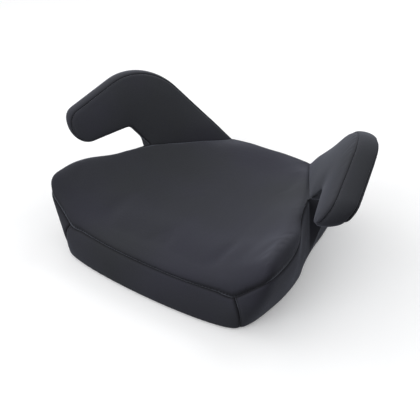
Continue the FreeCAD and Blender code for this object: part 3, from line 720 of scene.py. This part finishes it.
def arm_skin():
    """Patches of the +X arm's cover, the cap at its root, and points along its seams."""
    rim = resample(rounded_line(ARM_CORNERS), ARM_SPACING)
    root = resample([ROOT_REAR, ROOT_FRONT], ARM_SPACING)
    loop = np.concatenate([rim, root[1:-1]])
    flat, faces, _ = fill_loop(loop, ARM_PANEL_SPACING, ARM_RINGS)
    inward = quarter_turn(unit(np.gradient(rim, axis=0)))
    from_root = np.minimum(np.arange(len(rim)), np.arange(len(rim))[::-1]) * ARM_SPACING
    inward *= smoothstep(0.0, TAPER_FADE, from_root)[:, None] * ARM_TAPER
    swell = inward / ARM_TAPER * STRIP_CROWN
    strip = np.array([
        arm_point(
            rim + inward * ratio ** ARM_TAPER_POWER - swell * math.sin(math.pi * ratio) ** 0.7,
            np.full(len(rim), ratio * ARM_THICK),
        )
        for ratio in STRIP_ROWS
    ])
    outer_loop = np.concatenate([rim + inward, root[1:-1]])
    outer_flat, outer_faces, _ = fill_loop(outer_loop, ARM_PANEL_SPACING, ARM_RINGS)
    inner_pad = face_padding(flat, resample(rim, 1.0), root)
    outer_pad = face_padding(outer_flat, resample(rim + inward, 1.0), root)
    foot = np.array([arm_point(root, np.full(len(root), ratio * ARM_THICK)) for ratio in STRIP_ROWS])
    patches = {
        "inner": (arm_point(flat, -inner_pad), faces),
        "outer": (arm_point(outer_flat, ARM_THICK + outer_pad), outer_faces),
        "strip": (strip.reshape(-1, 3), grid_faces(len(STRIP_ROWS), len(rim))),
    }
    lines = np.concatenate([resample(strip[0], 1.0), resample(strip[-1], 1.0)])
    return patches, [(foot.reshape(-1, 3), grid_faces(len(STRIP_ROWS), len(root)))], lines


# ---------------------------------------------------------------- materials

FABRIC_DARK = (0.0205, 0.0213, 0.0264)
FABRIC_LIGHT = (0.034, 0.0352, 0.0432)
# Painted shade: near-black colour laid along the seam grooves, where shade falls.
SEAM_SHADE_COLOUR = (0.003, 0.003, 0.004)
FABRIC_SHEEN = 0.22


def new_material(name):
    """Empty node material with its output, shader and object coordinates."""
    material = bpy.data.materials.new(name)
    material.use_nodes = True
    tree = material.node_tree
    coords = tree.nodes.new("ShaderNodeTexCoord").outputs["Object"]
    return material, tree, tree.nodes["Principled BSDF"], coords


def feed(tree, node, inputs):
    """Links sockets to a node's inputs, or sets them to plain values."""
    for name, value in inputs.items():
        if isinstance(value, (int, float, tuple)):
            node.inputs[name].default_value = value
        else:
            tree.links.new(value, node.inputs[name])


def shader_node(tree, kind, inputs):
    """New node with its inputs fed."""
    node = tree.nodes.new("ShaderNode" + kind)
    feed(tree, node, inputs)
    return node


def noise_node(tree, coords, scale, detail=3.0):
    """Noise texture at a scale in cycles per metre."""
    return shader_node(tree, "TexNoise", {"Scale": scale, "Detail": detail, "Vector": coords}).outputs["Fac"]


def wave_node(tree, coords, scale, direction, distortion=0.6):
    """Straight sine stripes along one axis."""
    inputs = {"Scale": scale, "Distortion": distortion, "Detail": 1.0, "Vector": coords}
    node = shader_node(tree, "TexWave", inputs)
    node.bands_direction = direction
    return node.outputs["Fac"]


def ramp_node(tree, factor, stops):
    """Colour ramp from (place, colour) stops."""
    node = shader_node(tree, "ValToRGB", {"Fac": factor})
    while len(node.color_ramp.elements) < len(stops):
        node.color_ramp.elements.new(1.0)
    for element, (stop, colour) in zip(node.color_ramp.elements, stops):
        element.position = stop
        element.color = tuple(colour) + (1.0,)
    return node.outputs["Color"]


def maths(tree, operation, first, second):
    """Math node of two inputs, each a socket or a number."""
    node = shader_node(tree, "Math", {0: first, 1: second})
    node.operation = operation
    return node.outputs[0]


def mix_colour(tree, factor, first, second, blend="MIX"):
    """Colour mix node."""
    node = tree.nodes.new("ShaderNodeMix")
    node.data_type = "RGBA"
    node.blend_type = blend
    for name, value in (("Factor", factor), ("A", first), ("B", second)):
        socket = [item for item in node.inputs if item.name == name and item.enabled][0]
        if isinstance(value, (int, float)):
            socket.default_value = value
        elif isinstance(value, tuple):
            socket.default_value = tuple(value) + (1.0,)
        else:
            tree.links.new(value, socket)
    return [item for item in node.outputs if item.enabled][0]


def add_bump(tree, shader, height, strength, distance):
    """Bump from a height socket."""
    node = shader_node(tree, "Bump", {"Strength": strength, "Distance": distance, "Height": height})
    feed(tree, shader, {"Normal": node.outputs["Normal"]})


def fabric_material():
    """Fine smooth knit: two crossed sets of fine ribs, soft colour variation, a bluish sheen and a painted
    shade line along the seams.
    """
    material, tree, shader, coords = new_material("knit_fabric")
    courses = wave_node(tree, coords, 330.0, "X")
    wales = wave_node(tree, coords, 260.0, "Y")
    rows = wave_node(tree, coords, 300.0, "Z")
    weave = maths(tree, "ADD", maths(tree, "MULTIPLY", courses, wales), rows)
    patchy = noise_node(tree, coords, 9.0)
    lint = noise_node(tree, coords, 900.0, 2.0)
    tone = maths(tree, "ADD", maths(tree, "MULTIPLY", patchy, 0.6), maths(tree, "MULTIPLY", lint, 0.4))
    colour = ramp_node(tree, tone, [(0.3, FABRIC_DARK), (0.7, FABRIC_LIGHT)])
    drift = noise_node(tree, coords, 6.0)
    tint = ramp_node(tree, drift, [(0.38, (1.0, 1.02, 0.97)), (0.62, (1.02, 0.99, 1.1))])
    colour = mix_colour(tree, 1.0, colour, tint, "MULTIPLY")
    # Painted shade: the seam attribute darkens the knit to near black along the seam grooves.
    seam = tree.nodes.new("ShaderNodeAttribute")
    seam.attribute_name = "seam"
    feed(tree, shader, {
        "Base Color": mix_colour(tree, seam.outputs["Fac"], colour, SEAM_SHADE_COLOUR),
        "Roughness": ramp_node(tree, patchy, [(0.3, (0.78,) * 3), (0.75, (0.92,) * 3)]),
        "Sheen Weight": FABRIC_SHEEN,
        "Sheen Roughness": 0.38,
        "Sheen Tint": (0.78, 0.83, 1.0, 1.0),
        "Specular IOR Level": 0.25,
    })
    height = maths(tree, "ADD", weave, maths(tree, "MULTIPLY", lint, 0.8))
    add_bump(tree, shader, height, 0.12, 0.0004)
    return material


def plastic_material(name, dark, light, roughness, grain):
    """Moulded plastic with a fine grain and faint flow marks."""
    material, tree, shader, coords = new_material(name)
    fine = noise_node(tree, coords, grain)
    flow = noise_node(tree, coords, 14.0, 5.0)
    colour = ramp_node(tree, flow, [(0.3, dark), (0.7, light)])
    rough = ramp_node(tree, fine, [(0.3, (roughness - 0.08,) * 3), (0.7, (roughness + 0.08,) * 3)])
    feed(tree, shader, {"Base Color": colour, "Roughness": rough})
    add_bump(tree, shader, fine, 0.25, 0.0004)
    return material


def foam_material():
    """Open cell foam in charcoal grey, paler where it has aged."""
    material, tree, shader, coords = new_material("foam_cells")
    cells = shader_node(tree, "TexVoronoi", {"Scale": 420.0, "Vector": coords})
    ageing = noise_node(tree, coords, 12.0)
    colour = ramp_node(tree, ageing, [(0.3, (0.10, 0.10, 0.10)), (0.7, (0.16, 0.16, 0.155))])
    feed(tree, shader, {"Base Color": colour, "Roughness": 0.95})
    add_bump(tree, shader, cells.outputs["Distance"], 0.8, 0.0015)
    return material


def elastic_material():
    """Ribbed woven elastic."""
    material, tree, shader, coords = new_material("woven_elastic")
    ribs = wave_node(tree, coords, 150.0, "DIAGONAL", 0.2)
    fuzz = noise_node(tree, coords, 600.0)
    colour = ramp_node(tree, ribs, [(0.2, (0.012, 0.012, 0.013)), (0.8, (0.05, 0.05, 0.055))])
    feed(tree, shader, {"Base Color": colour, "Roughness": 0.85})
    height = maths(tree, "ADD", ribs, maths(tree, "MULTIPLY", fuzz, 0.4))
    add_bump(tree, shader, height, 0.6, 0.0008)
    return material


def steel_material():
    """Zinc plated screw steel with turning marks."""
    material, tree, shader, coords = new_material("zinc_steel")
    marks = noise_node(tree, coords, 700.0)
    colour = ramp_node(tree, marks, [(0.3, (0.42, 0.43, 0.45)), (0.7, (0.62, 0.62, 0.6))])
    rough = ramp_node(tree, marks, [(0.3, (0.25,) * 3), (0.7, (0.45,) * 3)])
    feed(tree, shader, {"Base Color": colour, "Roughness": rough, "Metallic": 1.0})
    add_bump(tree, shader, marks, 0.2, 0.0002)
    return material


FLOOR_GLOW = 0.14          # keeps the floor pale without lighting the seat


def floor_material():
    """Plain pale floor, seen only from above, so that light also reaches the seat's underside."""
    material, tree, shader, coords = new_material("studio_floor")
    mottle = noise_node(tree, coords, 3.0)
    colour = ramp_node(tree, mottle, [(0.3, (0.93, 0.93, 0.93)), (0.7, (0.96, 0.96, 0.96))])
    glow = {"Emission Color": colour, "Emission Strength": FLOOR_GLOW}
    feed(tree, shader, {"Base Color": colour, "Roughness": 0.9, **glow})
    clear = tree.nodes.new("ShaderNodeBsdfTransparent")
    below = tree.nodes.new("ShaderNodeNewGeometry").outputs["Backfacing"]
    seen = tree.nodes.new("ShaderNodeLightPath").outputs["Is Camera Ray"]
    shown = maths(tree, "SUBTRACT", seen, below)
    mix = shader_node(tree, "MixShader", {"Fac": shown, 1: clear.outputs["BSDF"], 2: shader.outputs["BSDF"]})
    feed(tree, tree.nodes["Material Output"], {"Surface": mix.outputs["Shader"]})
    return material


# ---------------------------------------------------------------- pieces


def thicken(item, depth):
    """Gives a sheet its thickness, inwards."""
    modifier = item.modifiers.new("thickness", "SOLIDIFY")
    modifier.thickness = depth * MM
    modifier.offset = -1.0
    modifier.use_even_offset = False
    modifier.edge_crease_outer = 1.0
    modifier.edge_crease_inner = 1.0
    modifier.edge_crease_rim = 1.0


def subdivide(item):
    """One level of smoothing subdivision."""
    modifier = item.modifiers.new("smoothing", "SUBSURF")
    modifier.levels = 1
    modifier.render_levels = 1
    modifier.boundary_smooth = "PRESERVE_CORNERS"


def joined(parts):
    """Welds some padded patches into one sheet, with every point's painted seam shade strength and normal."""
    sheets = [(part["points"], part["faces"]) for part in parts]
    points, faces, maps = weld(sheets)
    seam = np.zeros(len(points))
    normals = np.zeros((len(points), 3))
    for part, chosen in zip(parts, maps):
        # Painted shade: how strongly the seam groove's shade is painted at each point.
        seam[chosen] = np.exp(-(part["gap"] / SEAM_SHADE_WIDTH) ** 2)
        normals[chosen] = part["normals"]
    return points, faces, seam, normals


def outward(item, centre):
    """Turns an open sheet's faces away from the middle of the body it wraps."""
    middle = Vector(place(centre))
    facing = sum(face.normal.dot(face.center - middle) * face.area for face in item.data.polygons)
    if facing < 0:
        item.data.flip_normals()


def add_piece(item, material, nodes):
    """Hands a finished piece to the frame in place of some CAD nodes."""
    item.data.materials.append(material)
    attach(item, "root")
    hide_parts(*nodes)


def fabric_piece(name, parts, material, nodes, centre, flip=False):
    """Cover panel from padded patches."""
    points, faces, seam, _ = joined(parts)
    item = new_object(name, mirror(points) if flip else points, faces)
    outward(item, centre)
    # The seam attribute carries the painted shade along the seam grooves.
    attribute = item.data.attributes.new("seam", "FLOAT", "POINT")
    attribute.data.foreach_set("value", seam)
    thicken(item, FABRIC_THICK)
    subdivide(item)
    add_piece(item, material, nodes)


SEAT_CENTRE = np.array([0.0, 0.0, 30.0])
PAD_SHRINK = 0.982         # the pad's plan, as a share of the top panel's
PAD_DROP = 3.0             # the pad starts this far under the panel
PAD_DEPTH = 13.0
PAD_EDGE = 25.0            # and gets thinner this close to its edge
PAD_EDGE_SHARE = 0.35
WRAP_DROP = 3.2            # the wrap starts this far under the arm's cover
WRAP_DEPTH = 3.6
SEAM_CLEARANCE = 4.0       # how much deeper it is at a seam, and how far from the seam
SEAM_REACH = 7.0
ROOT_CLEARANCE = 12.0      # the same at the root
ROOT_REACH = 14.0


def seat_cover(material):
    """The seat's own cover panels."""
    patches, caps = seat_skin()
    skin = padded_skin(patches, caps, seat_seams(), SEAT_HELD, SEAT_LIMIT, SEAT_STIFFNESS)
    panels = {
        "cover_top": (["top"], ["cover_top_panel"]),
        "cover_front": (["front_left", "front_right"], ["cover_front_band"]),
        "cover_side_left": (["side_left", "root_left", "flank_left"], ["cover_side_band_left"]),
        "cover_side_right": (["side_right", "root_right", "flank_right"], ["cover_side_band_right"]),
        "cover_back": (["rear_left", "back_left", "rear_right", "back_right"], ["cover_back_band"]),
    }
    for name, (parts, nodes) in panels.items():
        fabric_piece(name, [skin[part] for part in parts], material, nodes, SEAT_CENTRE)
    return skin


def layered_sheet(points, normals, faces, top, bottom):
    """Closed solid between two depths under a sheet."""
    count = len(points)
    upper, lower = points - normals * top, points - normals * bottom
    sides = {}
    for face in faces:
        for first, second in zip(face, list(face[1:]) + [face[0]]):
            if (second, first) in sides:
                del sides[(second, first)]
            else:
                sides[(first, second)] = True
    solid = [list(face) for face in faces] + [[index + count for index in face[::-1]] for face in faces]
    solid += [[second, first, first + count, second + count] for first, second in sides]
    return np.concatenate([upper, lower]), solid


def seat_pad(skin, material):
    """Moulded foam pad right under the top panel."""
    top = skin["top"]
    points = top["points"].copy()
    points[:, :2] *= PAD_SHRINK
    down = np.zeros_like(points)
    down[:, 2] = 1.0
    edge = smoothstep(0.0, PAD_EDGE, top["gap"])[:, None]
    direction = down * (PAD_EDGE_SHARE + (1.0 - PAD_EDGE_SHARE) * edge)
    points, faces = layered_sheet(points, direction, top["faces"], PAD_DROP, PAD_DROP + PAD_DEPTH)
    item = new_object("foam_pad", points, faces)
    add_piece(item, material, ["seat_foam"])


def arm_cover(material, foam):
    """Cover panels and foam wrap of both arms."""
    patches, caps, lines = arm_skin()
    skin = padded_skin(patches, caps, lines, ARM_HELD, ARM_LIMIT, ARM_STIFFNESS)
    centre = ARM_CENTRE + ARM_SIDE * ARM_THICK / 2
    foot = caps[0][0]
    for side, flip in (("left", False), ("right", True)):
        middle = centre * [-1.0 if flip else 1.0, 1.0, 1.0]
        for part, node in (("inner", "inner_panel"), ("outer", "outer_panel"), ("strip", "edge_strip")):
            name = "arm_cover_" + part + "_" + side
            fabric_piece(name, [skin[part]], material, ["arm_" + node + "_" + side], middle, flip)
        points, faces, _, normals = joined(list(skin.values()))
        seam = np.exp(-(nearest_distance(points, lines) / SEAM_REACH) ** 2)
        root = np.exp(-(nearest_distance(points, foot) / ROOT_REACH) ** 2)
        sunk = points - normals * (SEAM_CLEARANCE * seam)[:, None]
        sunk += unit(centre - points) * (ROOT_CLEARANCE * root)[:, None]
        points, faces = layered_sheet(sunk, normals, faces, WRAP_DROP, WRAP_DROP + WRAP_DEPTH)
        item = new_object("foam_wrap_" + side, mirror(points) if flip else points, faces)
        add_piece(item, foam, ["arm_foam_" + side])


ELASTIC_NEAR = 9.0         # the elastic lies this far inside the hem
ELASTIC_FAR = 15.0
ELASTIC_HEIGHT = 1.4
ELASTIC_THICK = 1.2
ELASTIC_SPACING = 2.2
RIPPLE_HEIGHT = 0.55
RIPPLE_COUNT = 150


def elastic_ring(material):
    """Gathered elastic sewn into the hem's turned edge."""
    half = outline(HEM_OUTLINE, HEM_HALF_WIDTH, np.linspace(0, BACK_STEP, 400))
    loop = resample(np.concatenate([half, half[-2::-1] * [-1, 1]]), ELASTIC_SPACING)[:-1]
    inward = loop_sides(loop)
    along = np.arange(len(loop)) * math.tau / len(loop)
    rows = []
    for ratio in np.linspace(0, 1, 5):
        inset = ELASTIC_NEAR + (ELASTIC_FAR - ELASTIC_NEAR) * ratio
        ripple = RIPPLE_HEIGHT * np.sin(along * RIPPLE_COUNT)
        rows.append(np.column_stack([loop + inward * inset, ELASTIC_HEIGHT + ripple]))
    item = new_object("hem_gather", np.concatenate(rows), grid_faces(len(rows), len(loop), closed=True))
    thicken(item, ELASTIC_THICK)
    subdivide(item)
    add_piece(item, material, ["hem_elastic"])


# ---------------------------------------------------------------- studio

CAMERA_PLACE = (0.486, -0.7061, 0.5982)
CAMERA_DOWN = 33.0         # degrees below level
CAMERA_TURN = 34.87        # degrees round from straight ahead
CAMERA_LENS = 60.0
SKY_LIGHT = 0.5            # even light from all the upper surroundings
SKY_LEFT = 0.88            # extra from the -X side
SKY_RIGHT = 0.15           # extra from the +X side
GROUND_LIGHT = 0.1         # even light from below


# Soft lights: place, size in metres, power in watts and colour. All are aimed at LIGHT_TARGET.
LIGHTS = {
    "key": ((-1.5, -0.6, 1.4), 1.2, 2.0, (0.93, 0.96, 1.0)),
    "fill": ((-0.1, -1.7, 1.0), 1.4, 13.6, (0.96, 0.97, 1.0)),
    "back": ((0.3, 1.5, 1.5), 1.2, 10.4, (0.95, 0.97, 1.0)),
}
LIGHT_TARGET = (0.0, 0.0, 0.08)
FLOOR_HALF = 6.0


def area_light(name, spot, size, power, colour):
    """Square soft light aimed at the seat."""
    light = bpy.data.lights.new(name, "AREA")
    light.size = size
    light.energy = power
    light.color = colour
    item = add_object(name, light)
    item.location = spot
    item.rotation_euler = (Vector(LIGHT_TARGET) - Vector(spot)).to_track_quat("-Z", "Y").to_euler()


def studio():
    """Pale floor, soft lights, white surroundings and the camera."""
    corners = [(-FLOOR_HALF, -FLOOR_HALF, 0), (FLOOR_HALF, -FLOOR_HALF, 0),
               (FLOOR_HALF, FLOOR_HALF, 0), (-FLOOR_HALF, FLOOR_HALF, 0)]
    floor = add_object("floor", new_mesh("floor", corners, [(0, 1, 2, 3)]))
    floor.data.materials.append(floor_material())
    world = bpy.data.worlds.new("surroundings")
    world.use_nodes = True
    tree = world.node_tree
    view = tree.nodes.new("ShaderNodeTexCoord").outputs["Generated"]
    direction = shader_node(tree, "SeparateXYZ", {"Vector": view})
    across = direction.outputs["X"]
    right = maths(tree, "MULTIPLY", maths(tree, "MAXIMUM", across, 0.0), SKY_RIGHT)
    left = maths(tree, "MULTIPLY", maths(tree, "MINIMUM", across, 0.0), -SKY_LEFT)
    sides = maths(tree, "ADD", right, left)
    extra = maths(tree, "ADD", sides, SKY_LIGHT - GROUND_LIGHT)
    upward = maths(tree, "GREATER_THAN", direction.outputs["Z"], 0.0)
    level = maths(tree, "ADD", maths(tree, "MULTIPLY", upward, extra), GROUND_LIGHT)
    seen = tree.nodes.new("ShaderNodeLightPath").outputs["Is Camera Ray"]
    strength = maths(tree, "MAXIMUM", level, seen)
    feed(tree, tree.nodes["Background"], {"Color": (1.0, 1.0, 1.0, 1.0), "Strength": strength})
    bpy.context.scene.world = world
    for name, values in LIGHTS.items():
        area_light(name, *values)
    lens = bpy.data.cameras.new("camera")
    lens.lens = CAMERA_LENS
    lens.sensor_width = 36.0
    camera = add_object("camera", lens)
    camera.location = CAMERA_PLACE
    camera.rotation_euler = (math.radians(90 - CAMERA_DOWN), 0.0, math.radians(CAMERA_TURN))
    bpy.context.scene.camera = camera
    bpy.context.scene.view_settings.view_transform = "Standard"


def dress_node(name, material):
    """Puts a procedural material on a part carried over from the design."""
    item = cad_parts[name]
    item.data.materials.clear()
    item.data.materials.append(material)


fabric = fabric_material()
foam = foam_material()
seat = seat_cover(fabric)
seat_pad(seat, foam)
arm_cover(fabric, foam)
elastic_ring(elastic_material())
shell = plastic_material("moulded_shell", (0.05, 0.05, 0.052), (0.075, 0.075, 0.078), 0.5, 500.0)
core = plastic_material("moulded_core", (0.07, 0.07, 0.072), (0.1, 0.1, 0.102), 0.55, 420.0)
hooks = plastic_material("hook_plastic", (0.02, 0.02, 0.021), (0.035, 0.035, 0.036), 0.4, 650.0)
rubber = plastic_material("foot_rubber", (0.014, 0.014, 0.014), (0.028, 0.028, 0.028), 0.8, 260.0)
carried_over = {
    "base_shell": shell, "arm_core_left": core, "arm_core_right": core, "cover_hooks": hooks,
    "anti_slip_feet": rubber, "arm_screws": steel_material(),
}
for name, material in carried_over.items():
    dress_node(name, material)
studio()
